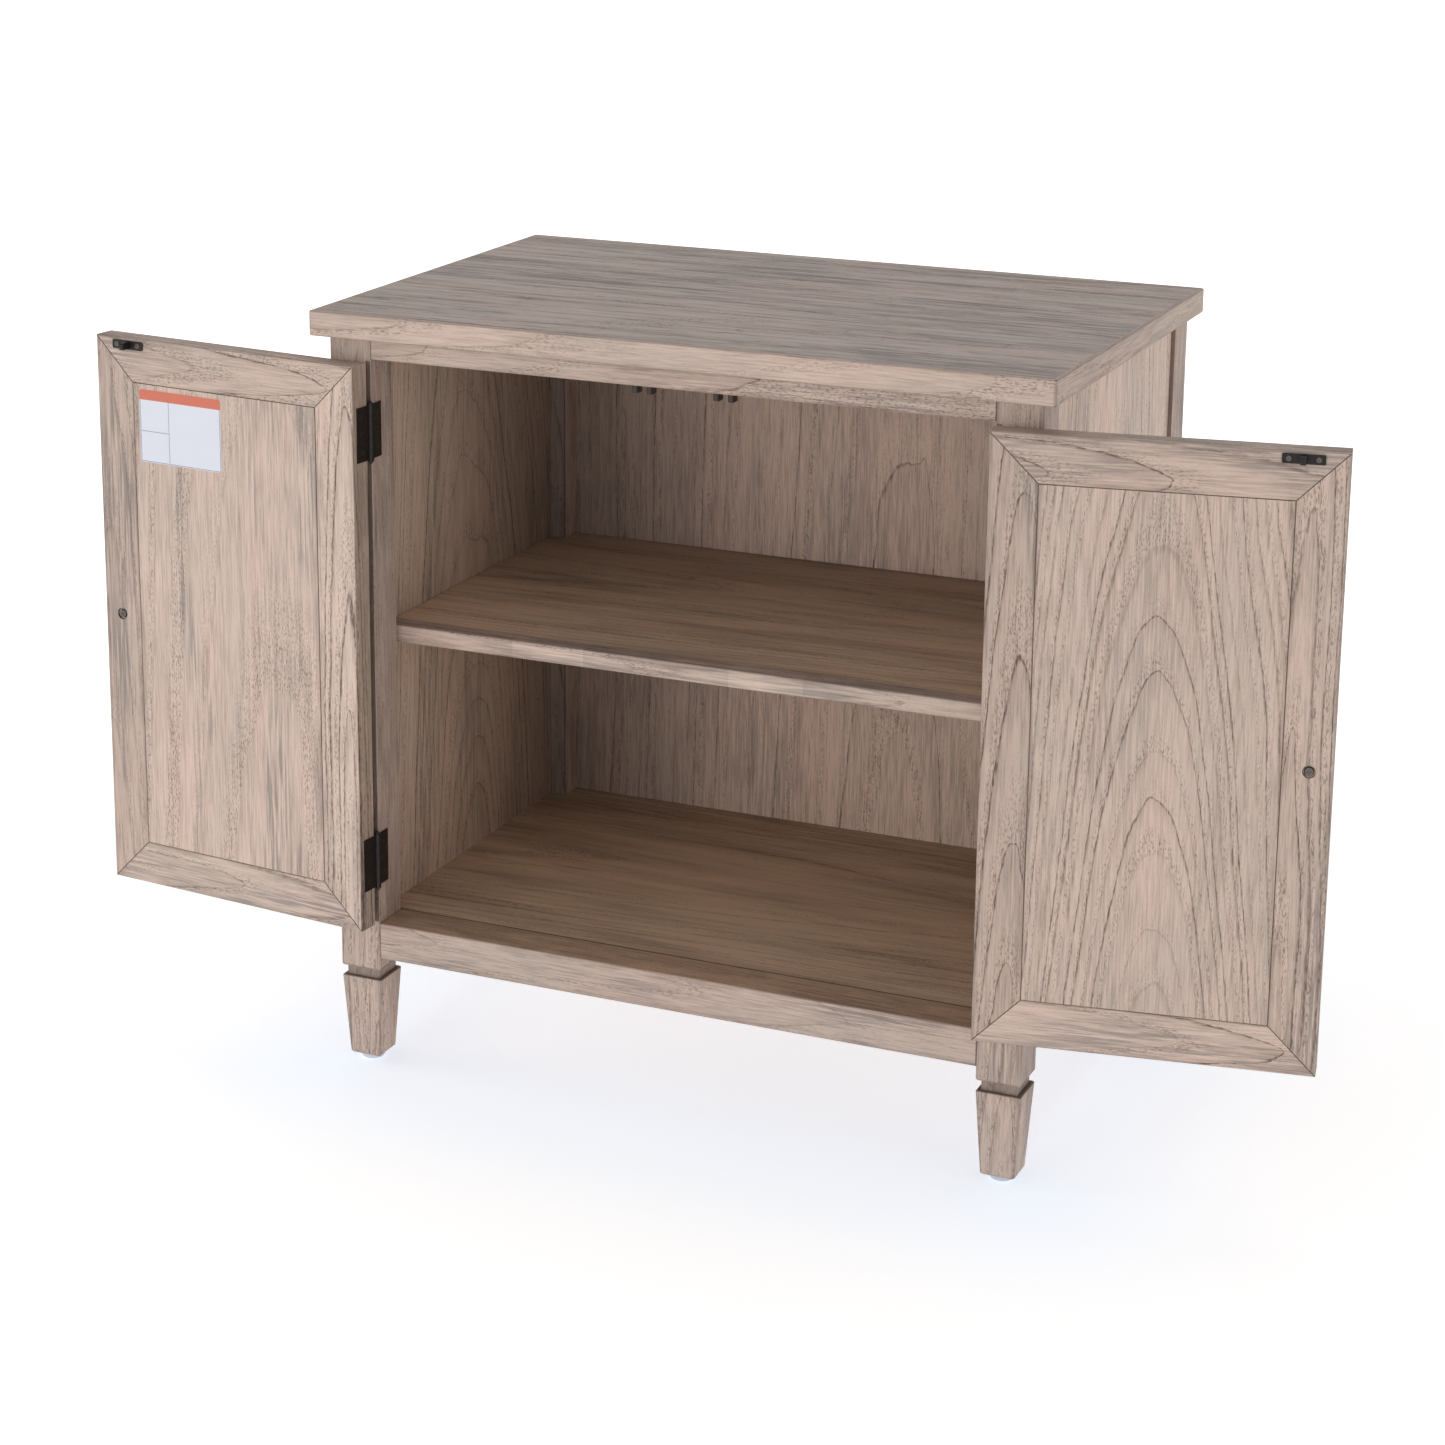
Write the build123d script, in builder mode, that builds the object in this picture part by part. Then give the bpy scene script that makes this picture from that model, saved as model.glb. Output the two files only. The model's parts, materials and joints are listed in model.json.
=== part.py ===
from build123d import *
from math import cos, sin, radians
import os

# Two-door storage cabinet on four tapered feet, with one loose shelf.
# Millimetres. +Z is up, -Y is the front, +X is the right-hand side seen from the front.
# The origin is on the floor, under the middle of the cabinet with its doors folded open.

os.makedirs("parts", exist_ok=True)

# ---------------------------------------------------------------- driving dimensions
HEIGHT = 792.0          # floor to the top's upper face
TOP_W = 762.0
TOP_T = 25.0
TOP_SIDE = 15.4         # the top's overhang at each side
TOP_FRONT = 15.6        # its overhang in front of the posts
TOP_BACK = 3.8
LIPPING = 4.0           # thickness of the solid lipping round the top's core
TOP_CORNER_R = 4.0      # rounding of the top's corners in plan
TOP_EDGE_R = 1.8        # rounding of its upper and lower edges

FRONT = -228.0          # y of the posts' front faces
BODY_D = 484.0
POST = 45.0             # square section
POST_R = 1.0            # rounding of the posts' long edges
RAIL_BOTTOM = 119.6     # underside of the bottom rail
RAIL_TOP = 157.9        # its upper face, level with the bottom panel
OPENING_TOP = 745.4     # underside of the top rail
PANEL_T = 22.0          # side panels
PANEL_RECESS = 4.3      # how far the side panels sit in from the posts' outer faces
BOTTOM_T = 18.0
BACK_FACE = 465.7       # front face of the back panel, behind FRONT
BACK_T = 12.0

LEG_BOTTOM = 104.5      # where the square post ends
LEG_ROUND = 4.5         # rounding of its lower edges
NECK = 36.0             # square section of the neck between post and foot
FOOT_TOP = 95.2
FOOT_BOTTOM = 7.6
FOOT_END = 34.8         # width of the tapered foot at its lower end
GLIDE_D = 25.0

SHELF_TOP = 461.2
SHELF_T = 18.0
SHELF_FRONT = 52.6      # front edge, behind FRONT
SHELF_LIP = 22.0
SHELF_PIN_R = 2.5

DOOR_T = 24.0
DOOR_GAP = 2.4          # between the posts and the doors' hinge edges
DOOR_MEET = 3.0         # between the two doors when both are closed
DOOR_CLEAR = 1.9        # above and below the doors
FRAME_W = 45.0          # width of the doors' mitred frame members
DOOR_RECESS = 6.0       # how far the panel sits back from the doors' outer faces
LEFT_OPEN = 186.1       # degrees from closed, as the part is stored
RIGHT_OPEN = 189.5

PIN_OUT = 4.3           # hinge pin axis in front of the posts' front faces
PIN_R = 1.55
BARREL_R = 3.2
BORE_R = 1.60           # running fit on the pin
LEAF_H = 55.0
LEAF_T = 1.1
LEAF_W = 22.0           # from the pin axis to the leaf's far edge
BARREL_H = 58.0
HINGE_Z = (227.8, 673.5)
SCREW_PITCH = 18.0
HINGE_SCREW_R = 2.9
RECESS_DEPTH = 0.6      # of the crossed recess in every screw head

STRIKE_W = 38.0
STRIKE_H = 9.0
STRIKE_T = 1.2
STRIKE_X = 42.0         # from the middle of the cabinet, doors closed
STRIKE_Z = 736.4
TONGUE_W = 5.0
TONGUE_H = 7.0
TONGUE_L = 12.0
KNOB_Z = 451.0
KNOB_IN = 21.0          # from the door's meeting edge
KNOB_HOLE_R = 2.4       # clearance hole for the knob's screw
SCREW_SINK_R = 6.2      # counterbore round the screw's head
SCREW_SINK = 2.6

# ---------------------------------------------------------------- derived dimensions
HALF = TOP_W / 2 - TOP_SIDE             # to the posts' outer faces
OPEN_HALF = HALF - POST                 # half the width of the opening
REAR = FRONT + BODY_D
TOP_Z = HEIGHT - TOP_T
PIN_X = OPEN_HALF - DOOR_GAP / 2
PIN_Y = FRONT - PIN_OUT
DOOR_W = OPEN_HALF - DOOR_GAP - DOOR_MEET / 2
DOOR_Z0 = RAIL_TOP + DOOR_CLEAR
DOOR_H = OPENING_TOP - DOOR_CLEAR - DOOR_Z0
PANEL_OUT = HALF - PANEL_RECESS
PANEL_IN = PANEL_OUT - PANEL_T
BACK_Y = FRONT + BACK_FACE


def save(part, name):
    part.label = name
    export_step(part, f"parts/{name}.step")


def box_between(x0, x1, y0, y1, z0, z1):
    """A plain board between two corners."""
    with BuildPart() as made:
        with BuildSketch(Plane.XY.offset(z0)):
            with Locations(((x0 + x1) / 2, (y0 + y1) / 2)):
                Rectangle(x1 - x0, y1 - y0)
        extrude(amount=z1 - z0)
    return made.part


# ---------------------------------------------------------------- top
TOP_X = TOP_W / 2
TOP_Y0 = FRONT - TOP_FRONT
TOP_Y1 = REAR + TOP_BACK
CORE_X = TOP_X - LIPPING
CORE_Y0 = TOP_Y0 + LIPPING
CORE_Y1 = TOP_Y1 - LIPPING


def lipping(corners):
    """One mitred strip of the top's edge: the rounded ring all round it, cut back to one side."""
    with BuildPart() as strip:
        with BuildSketch(Plane.XY.offset(TOP_Z)):
            with Locations((0, (TOP_Y0 + TOP_Y1) / 2)):
                RectangleRounded(TOP_W, TOP_Y1 - TOP_Y0, TOP_CORNER_R)
        extrude(amount=TOP_T)
        fillet(strip.edges().group_by(Axis.Z)[0] + strip.edges().group_by(Axis.Z)[-1], TOP_EDGE_R)
        with BuildSketch(Plane.XY.offset(TOP_Z)):
            with Locations((0, (CORE_Y0 + CORE_Y1) / 2)):
                Rectangle(2 * CORE_X, CORE_Y1 - CORE_Y0)
        extrude(amount=TOP_T, mode=Mode.SUBTRACT)
        with BuildSketch(Plane.XY.offset(TOP_Z)):
            with BuildLine():
                Polyline(*corners, close=True)
            make_face()
        extrude(amount=TOP_T, mode=Mode.INTERSECT)
    return strip.part


FRONT_STRIP = [(-TOP_X, TOP_Y0), (TOP_X, TOP_Y0), (CORE_X, CORE_Y0), (-CORE_X, CORE_Y0)]
BACK_STRIP = [(-TOP_X, TOP_Y1), (TOP_X, TOP_Y1), (CORE_X, CORE_Y1), (-CORE_X, CORE_Y1)]
LEFT_STRIP = [(-TOP_X, TOP_Y0), (-CORE_X, CORE_Y0), (-CORE_X, CORE_Y1), (-TOP_X, TOP_Y1)]
RIGHT_STRIP = [(TOP_X, TOP_Y0), (CORE_X, CORE_Y0), (CORE_X, CORE_Y1), (TOP_X, TOP_Y1)]
save(box_between(-CORE_X, CORE_X, CORE_Y0, CORE_Y1, TOP_Z, HEIGHT), "top_core")
save(lipping(FRONT_STRIP), "top_lipping_front")
save(lipping(BACK_STRIP), "top_lipping_back")
save(lipping(LEFT_STRIP), "top_lipping_left")
save(lipping(RIGHT_STRIP), "top_lipping_right")

# ---------------------------------------------------------------- legs, feet and glides
LEG_C = HALF - POST / 2
LEG_PLACES = {
    "front_left": (-LEG_C, FRONT + POST / 2),
    "front_right": (LEG_C, FRONT + POST / 2),
    "rear_left": (-LEG_C, REAR - POST / 2),
    "rear_right": (LEG_C, REAR - POST / 2),
}


def side_profile():
    """The post's outline from one side: square at the top, rounded at its lower corners."""
    with BuildSketch(mode=Mode.PRIVATE) as outline:
        with Locations((0, (TOP_Z + LEG_BOTTOM) / 2)):
            Rectangle(POST, TOP_Z - LEG_BOTTOM)
        low = outline.vertices().group_by(Axis.Y)[0]
        fillet(low, LEG_ROUND)
    return outline.sketch


def leg(x, y):
    """Square post with a neck below its rounded lower end."""
    with BuildPart() as made:
        with BuildSketch(Plane.XY.offset(LEG_BOTTOM)):
            with Locations((x, y)):
                RectangleRounded(POST, POST, POST_R)
        extrude(amount=TOP_Z - LEG_BOTTOM)
        with BuildSketch(Plane.XZ.offset(-y - POST)):
            with Locations((x, 0)):
                add(side_profile())
        extrude(amount=2 * POST, mode=Mode.INTERSECT)
        with BuildSketch(Plane.YZ.offset(x - POST)):
            with Locations((y, 0)):
                add(side_profile())
        extrude(amount=2 * POST, mode=Mode.INTERSECT)
        with BuildSketch(Plane.XY.offset(FOOT_TOP)):
            with Locations((x, y)):
                Rectangle(NECK, NECK)
        extrude(amount=LEG_BOTTOM - FOOT_TOP + 1)
    return made.part


def foot(x, y):
    """Tapered foot block, rounded round its upper edge and a little more round its lower one."""
    with BuildPart() as made:
        with BuildSketch(Plane.XY.offset(FOOT_BOTTOM)):
            with Locations((x, y)):
                RectangleRounded(FOOT_END, FOOT_END, 3)
        with BuildSketch(Plane.XY.offset(FOOT_TOP)):
            with Locations((x, y)):
                RectangleRounded(POST, POST, 2)
        loft()
        chamfer(made.edges().group_by(Axis.Z)[-1], 1.0)
        chamfer(made.edges().group_by(Axis.Z)[0], 1.8)
    return made.part


for place, (px, py) in LEG_PLACES.items():
    save(leg(px, py), f"leg_{place}")
    save(foot(px, py), f"foot_{place}")

with BuildPart() as glides:
    with BuildSketch():
        with Locations(*LEG_PLACES.values()):
            Circle(GLIDE_D / 2)
    extrude(amount=FOOT_BOTTOM)
    fillet(glides.edges().group_by(Axis.Z)[0], 4.5)
save(glides.part, "foot_glides")

# ---------------------------------------------------------------- carcase panels and rails
save(box_between(-PANEL_OUT, -PANEL_IN, FRONT + POST, REAR - POST, 122, TOP_Z), "side_panel_left")
save(box_between(PANEL_IN, PANEL_OUT, FRONT + POST, REAR - POST, 122, TOP_Z), "side_panel_right")
save(box_between(-OPEN_HALF, OPEN_HALF, BACK_Y, BACK_Y + BACK_T, RAIL_TOP, TOP_Z), "back_panel")

with BuildPart() as bottom:
    with BuildSketch(Plane.XY.offset(RAIL_TOP - BOTTOM_T)):
        with Locations((0, (FRONT + POST + REAR - POST) / 2)):
            Rectangle(2 * PANEL_IN, BODY_D - 2 * POST)
        with Locations((0, (REAR - POST + BACK_Y + BACK_T) / 2)):
            Rectangle(2 * OPEN_HALF, BACK_Y + BACK_T - REAR + POST)
    extrude(amount=BOTTOM_T)
save(bottom.part, "bottom_panel")

with BuildPart() as rail_front:
    add(box_between(-OPEN_HALF, OPEN_HALF, FRONT, FRONT + POST, RAIL_BOTTOM, RAIL_TOP))
    chamfer(rail_front.edges().filter_by(Axis.X).group_by(Axis.Y)[0], 0.8)
save(rail_front.part, "bottom_rail_front")

save(box_between(-OPEN_HALF, OPEN_HALF, BACK_Y - 8, BACK_Y + BACK_T, RAIL_BOTTOM, RAIL_TOP - BOTTOM_T),
     "bottom_rail_rear")

with BuildPart() as rail_top:
    add(box_between(-OPEN_HALF, OPEN_HALF, FRONT, FRONT + POST, OPENING_TOP, TOP_Z))
    chamfer(rail_top.edges().filter_by(Axis.X).group_by(Axis.Y)[0].sort_by(Axis.Z)[0], 0.8)
save(rail_top.part, "top_rail_front")

save(box_between(-OPEN_HALF, OPEN_HALF, BACK_Y - 24, BACK_Y, OPENING_TOP, TOP_Z), "top_rail_rear")

# ---------------------------------------------------------------- shelf and its pins
SHELF_X = PANEL_IN - 1.0
SHELF_Z0 = SHELF_TOP - SHELF_T
SHELF_Y0 = FRONT + SHELF_FRONT
SHELF_Y1 = BACK_Y - 2.0
NOTCH_Y = REAR - POST - 2.0

with BuildPart() as lip:
    add(box_between(-SHELF_X, SHELF_X, SHELF_Y0, SHELF_Y0 + SHELF_LIP, SHELF_Z0, SHELF_TOP))
    chamfer(lip.edges().filter_by(Axis.X).group_by(Axis.Y)[0], 0.8)
save(lip.part, "shelf_lipping")

with BuildPart() as board:
    with BuildSketch(Plane.XY.offset(SHELF_Z0)):
        with Locations((0, (SHELF_Y0 + SHELF_LIP + NOTCH_Y) / 2)):
            Rectangle(2 * SHELF_X, NOTCH_Y - SHELF_Y0 - SHELF_LIP)
        with Locations((0, (NOTCH_Y + SHELF_Y1) / 2)):
            Rectangle(2 * (OPEN_HALF - 2), SHELF_Y1 - NOTCH_Y)
    extrude(amount=SHELF_T)
save(board.part, "shelf_board")

PIN_YS = (SHELF_Y0 + 40, NOTCH_Y - 40)
with BuildPart() as pins:
    for inner, way in ((-PANEL_IN, 1), (PANEL_IN, -1)):
        with BuildSketch(Plane.YZ.offset(inner)):
            with Locations(*[(y, SHELF_Z0 - SHELF_PIN_R) for y in PIN_YS]):
                Circle(SHELF_PIN_R)
        extrude(amount=9.0 * way)
save(pins.part, "shelf_pins")

# ---------------------------------------------------------------- doors


class Door:
    """Where one door stands: folded open about its hinge pin by its stored angle."""

    def __init__(self, side, open_deg):
        self.side = side                                # -1 left, +1 right
        self.turn = radians(open_deg)

    def direction(self, along, toward):
        """Turns a closed door's direction: along runs from hinge to meeting edge, toward runs inwards."""
        c = cos(self.turn)
        s = sin(self.turn)
        x = along * c + toward * s
        y = -along * s + toward * c
        return Vector(-self.side * x, y, 0)

    def point(self, along, inward, z):
        """along from the hinge edge; inward from the outer face, doors closed."""
        d = self.direction(along + DOOR_GAP / 2, inward + PIN_OUT)
        return Vector(self.side * PIN_X + d.X, PIN_Y + d.Y, z)

    def face(self, inward):
        """Sketch plane parallel to the door; its +X runs to the viewer's right, its +Y up."""
        normal = self.direction(0, 1)
        right = self.direction(self.side, 0)
        return Plane(origin=self.point(0, inward, 0), x_dir=right, z_dir=normal)

    def edge(self):
        """Sketch plane on the hinge edge; its +X runs inwards, its normal points away from the door."""
        return Plane(origin=self.point(0, 0, 0), x_dir=self.direction(0, 1), z_dir=self.direction(-1, 0))


LEFT = Door(-1, LEFT_OPEN)
RIGHT = Door(1, RIGHT_OPEN)


def board_on(door, outline, inward0, inward1, bevel=0.5):
    """A door board from an outline of (along, z) corners, bevelled round both its faces."""
    plane = door.face(inward0)
    with BuildPart() as made:
        with BuildSketch(plane):
            with BuildLine():
                Polyline(*[(door.side * u, v) for u, v in outline], close=True)
            make_face()
        extrude(amount=inward1 - inward0)
        thickness = Axis(plane.origin, plane.z_dir)
        layers = made.edges().group_by(thickness)
        chamfer(layers[0] + layers[-1], bevel)
    return made.part


def bored_for_knob(door, stile):
    """Cuts the clearance hole and the counterbore of the knob's screw."""
    inner = door.face(DOOR_T)
    with BuildPart() as made:
        add(stile)
        with BuildSketch(inner):
            with Locations((door.side * (DOOR_W - KNOB_IN), KNOB_Z)):
                Circle(KNOB_HOLE_R)
        extrude(amount=-DOOR_T, mode=Mode.SUBTRACT)
        with BuildSketch(inner):
            with Locations((door.side * (DOOR_W - KNOB_IN), KNOB_Z)):
                Circle(SCREW_SINK_R)
        extrude(amount=-SCREW_SINK, mode=Mode.SUBTRACT)
    return made.part


def door_frame(door, name):
    z0 = DOOR_Z0
    z1 = DOOR_Z0 + DOOR_H
    f = FRAME_W
    w = DOOR_W
    members = {
        "stile_hinge": [(0, z0), (f, z0 + f), (f, z1 - f), (0, z1)],
        "stile_latch": [(w, z0), (w, z1), (w - f, z1 - f), (w - f, z0 + f)],
        "rail_top": [(0, z1), (f, z1 - f), (w - f, z1 - f), (w, z1)],
        "rail_bottom": [(0, z0), (w, z0), (w - f, z0 + f), (f, z0 + f)],
    }
    for member, outline in members.items():
        made = board_on(door, outline, 0, DOOR_T)
        if member == "stile_latch":
            made = bored_for_knob(door, made)
        save(made, f"{name}_{member}")
    panel = [(f, z0 + f), (w - f, z0 + f), (w - f, z1 - f), (f, z1 - f)]
    save(board_on(door, panel, DOOR_RECESS, DOOR_T, 0.7), f"{name}_panel")


# ---------------------------------------------------------------- hinges
KNUCKLES = 5
KNUCKLE_H = BARREL_H / KNUCKLES
KNUCKLE_PLAY = 0.25


def knuckle_starts(middle, fixed):
    """Lower ends of one leaf's barrel pieces: first, third and fifth on the post, the others on the door."""
    picks = (0, 2, 4) if fixed else (1, 3)
    return [middle - BARREL_H / 2 + i * KNUCKLE_H for i in picks]


SCREW_FROM_PIN = 14.0
SCREW_ZS = (-SCREW_PITCH, 0, SCREW_PITCH)


def hinge_leaf(plate, near, far, middle, side, fixed):
    """One hinge leaf: a plate on its wood face, with its barrel pieces round the pin axis."""
    up = plate.y_dir.Z
    with BuildPart() as made:
        with BuildSketch(plate):
            with Locations(((near + far) / 2, up * middle)):
                Rectangle(far - near, LEAF_H)
        extrude(amount=LEAF_T)
        for start in knuckle_starts(middle, fixed):
            with BuildSketch(Plane.XY.offset(start + KNUCKLE_PLAY / 2)):
                with Locations((side * PIN_X, PIN_Y)):
                    Circle(BARREL_R)
            extrude(amount=KNUCKLE_H - KNUCKLE_PLAY)
        for start in knuckle_starts(middle, not fixed):
            with BuildSketch(Plane.XY.offset(start - KNUCKLE_PLAY / 2)):
                with Locations((side * PIN_X, PIN_Y)):
                    Circle(BARREL_R + 0.4)
            extrude(amount=KNUCKLE_H + KNUCKLE_PLAY, mode=Mode.SUBTRACT)
        with BuildSketch(Plane.XY.offset(middle - BARREL_H)):
            with Locations((side * PIN_X, PIN_Y)):
                Circle(BORE_R)
        extrude(amount=2 * BARREL_H, mode=Mode.SUBTRACT)
        with BuildSketch(plate):
            with Locations(*[(near + SCREW_FROM_PIN, up * (middle + z)) for z in SCREW_ZS]):
                Circle(HINGE_SCREW_R + 0.1)
        extrude(amount=LEAF_T, mode=Mode.SUBTRACT)
    return made.part


def leaf_on_post(side, middle):
    """The leaf that lies on the post's inner face."""
    plate = Plane(origin=(side * OPEN_HALF, PIN_Y, 0), x_dir=(0, 1, 0), z_dir=(-side, 0, 0))
    return hinge_leaf(plate, 0, LEAF_W, middle, side, True)


def leaf_on_door(door, middle):
    """The leaf that lies on the door's hinge edge."""
    return hinge_leaf(door.edge(), -PIN_OUT, LEAF_W - PIN_OUT, middle, door.side, False)


def screws(plane, places, head_r, head_h, shank_r=0.0, sink=0.0, taper=0.0):
    """Screws seated on a plane: a head with a crossed recess, and a short shank behind it if sink is set."""
    with BuildPart() as made:
        if sink > 0:
            with BuildSketch(plane.offset(-sink)):
                with Locations(*places):
                    Circle(shank_r)
            extrude(amount=sink)
        with BuildSketch(plane):
            with Locations(*places):
                Circle(head_r)
        extrude(amount=head_h, taper=taper)
        with BuildSketch(plane.offset(head_h - RECESS_DEPTH)):
            with Locations(*places):
                Rectangle(head_r * 1.1, head_r * 0.22)
                Rectangle(head_r * 0.22, head_r * 1.1)
        extrude(amount=RECESS_DEPTH, mode=Mode.SUBTRACT)
    return made.part


def pins_for(side):
    """Both hinge pins of one door, each with a button at its two ends."""
    with BuildPart() as made:
        for middle in HINGE_Z:
            with BuildSketch(Plane.XY.offset(middle - BARREL_H / 2)):
                with Locations((side * PIN_X, PIN_Y)):
                    Circle(PIN_R)
            extrude(amount=BARREL_H)
            for start, way in ((middle + BARREL_H / 2, 1), (middle - BARREL_H / 2, -1)):
                with BuildSketch(Plane.XY.offset(start)):
                    with Locations((side * PIN_X, PIN_Y)):
                        Circle(2.6)
                extrude(amount=2.5 * way, taper=30)
    return made.part


def door_hardware(door, name):
    side = door.side
    spots = ("lower", "upper")
    for spot, middle in zip(spots, HINGE_Z):
        save(leaf_on_post(side, middle), f"{name}_{spot}_post_leaf")
        save(leaf_on_door(door, middle), f"{name}_{spot}_door_leaf")
    save(pins_for(side), f"{name}_hinge_pins")

    # Flat heads, a hair below the leaves' faces, so that the closed leaves pass each other.
    head_h = LEAF_T - 0.05
    post_face = Plane(origin=(side * OPEN_HALF, PIN_Y, 0), x_dir=(0, 1, 0), z_dir=(-side, 0, 0))
    up = post_face.y_dir.Z
    places = [(SCREW_FROM_PIN, up * (m + z)) for m in HINGE_Z for z in SCREW_ZS]
    save(screws(post_face, places, HINGE_SCREW_R, head_h), f"{name}_post_hinge_screws")

    edge_face = door.edge()
    up = edge_face.y_dir.Z
    places = [(SCREW_FROM_PIN - PIN_OUT, up * (m + z)) for m in HINGE_Z for z in SCREW_ZS]
    save(screws(edge_face, places, HINGE_SCREW_R, head_h), f"{name}_door_hinge_screws")

    # Strike plate with a tongue, on the inner face at the top of the meeting edge.
    inner = door.face(DOOR_T)
    along = DOOR_W + DOOR_MEET / 2 - STRIKE_X
    with BuildPart() as strike:
        with BuildSketch(inner):
            with Locations((side * along, STRIKE_Z)):
                RectangleRounded(STRIKE_W, STRIKE_H, 1.5)
        extrude(amount=STRIKE_T)
        with BuildSketch(inner):
            with Locations((side * along, STRIKE_Z)):
                Rectangle(TONGUE_W, TONGUE_H)
        extrude(amount=TONGUE_L)
        thickness = Axis(inner.origin, inner.z_dir)
        chamfer(strike.faces().sort_by(thickness)[-1].edges(), 1.2)
        places = [(side * (along + k), STRIKE_Z) for k in (-13, 13)]
        with BuildSketch(inner):
            with Locations(*places):
                Circle(1.3)
        extrude(amount=STRIKE_T, mode=Mode.SUBTRACT)
    save(strike.part, f"{name}_strike_plate")
    save(screws(inner.offset(STRIKE_T), places, 2.8, 1.1, 1.2, STRIKE_T, 25), f"{name}_strike_screws")

    # Turned knob on the outer face, held by a pan-head screw from the inner face.
    away = -door.face(0).z_dir
    upright = Vector(0, 0, 1)
    foot_point = door.point(DOOR_W - KNOB_IN, 0, KNOB_Z)
    with BuildPart() as knob:
        with BuildSketch(Plane(origin=foot_point, x_dir=upright, z_dir=upright.cross(away))):
            with BuildLine():
                Polyline((0, 25.0), (0, 0), (8.5, 0), (8.5, 1.5), (5.0, 4.0), (4.4, 8.0), (5.2, 11.0))
                Spline((5.2, 11.0), (12.5, 16.5), (10.0, 22.5), (0, 25.0), tangents=((1, 0.4), (-1, 0)))
            make_face()
        revolve(axis=Axis(foot_point, away))
    save(knob.part, f"{name}_knob")
    places = [(side * (DOOR_W - KNOB_IN), KNOB_Z)]
    save(screws(inner.offset(-SCREW_SINK), places, 4.6, 2.0, 2.2, 12.0, 25), f"{name}_knob_screw")


for door, name in ((LEFT, "left_door"), (RIGHT, "right_door")):
    door_frame(door, name)
    door_hardware(door, name)

# ---------------------------------------------------------------- catches under the top rail
CATCH_Y0 = FRONT + DOOR_T + 3.0
CATCH_D = 14.0
JAW_GAP = 9.0
JAW_W = 6.0
JAW_H = 12.0


def catch(side):
    """Spring clip: a plate under the top rail with a jaw on each side of the tongue."""
    x = side * STRIKE_X
    with BuildPart() as made:
        with BuildSketch(Plane.XY.offset(OPENING_TOP - 1.6)):
            with Locations((x, CATCH_Y0 + CATCH_D / 2)):
                RectangleRounded(STRIKE_W, CATCH_D, 1.5)
        extrude(amount=1.6)
        for way in (-1, 1):
            with BuildSketch(Plane.XY.offset(OPENING_TOP - 1.6 - JAW_H)):
                with Locations((x + way * (JAW_GAP + JAW_W) / 2, CATCH_Y0 + CATCH_D / 2)):
                    RectangleRounded(JAW_W, CATCH_D - 1, 2.2)
            extrude(amount=JAW_H)
    return made.part


save(catch(-1), "left_catch")
save(catch(1), "right_catch")
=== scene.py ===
import json
import math

import bmesh
import bpy
from mathutils import Matrix, Vector

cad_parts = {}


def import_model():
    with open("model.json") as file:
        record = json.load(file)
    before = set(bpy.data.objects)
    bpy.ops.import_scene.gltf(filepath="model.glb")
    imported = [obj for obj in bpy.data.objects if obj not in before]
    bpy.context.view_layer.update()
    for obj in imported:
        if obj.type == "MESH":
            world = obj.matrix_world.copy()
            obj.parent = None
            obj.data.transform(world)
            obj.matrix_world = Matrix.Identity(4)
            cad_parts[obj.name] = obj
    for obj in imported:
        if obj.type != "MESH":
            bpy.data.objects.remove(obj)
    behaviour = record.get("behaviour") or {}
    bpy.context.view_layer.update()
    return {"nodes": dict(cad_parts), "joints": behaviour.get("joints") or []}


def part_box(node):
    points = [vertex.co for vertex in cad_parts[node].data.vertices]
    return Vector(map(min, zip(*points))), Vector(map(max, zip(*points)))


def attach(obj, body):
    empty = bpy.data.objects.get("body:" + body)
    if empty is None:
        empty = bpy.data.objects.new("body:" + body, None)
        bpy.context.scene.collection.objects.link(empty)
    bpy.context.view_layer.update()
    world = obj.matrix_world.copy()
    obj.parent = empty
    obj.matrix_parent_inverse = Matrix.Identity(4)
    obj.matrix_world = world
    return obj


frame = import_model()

MM = 0.001

# The angle in degrees that turns each stored door square with the cabinet's front.
LEFT_LEAN = 6.1
RIGHT_LEAN = -9.5


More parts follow.
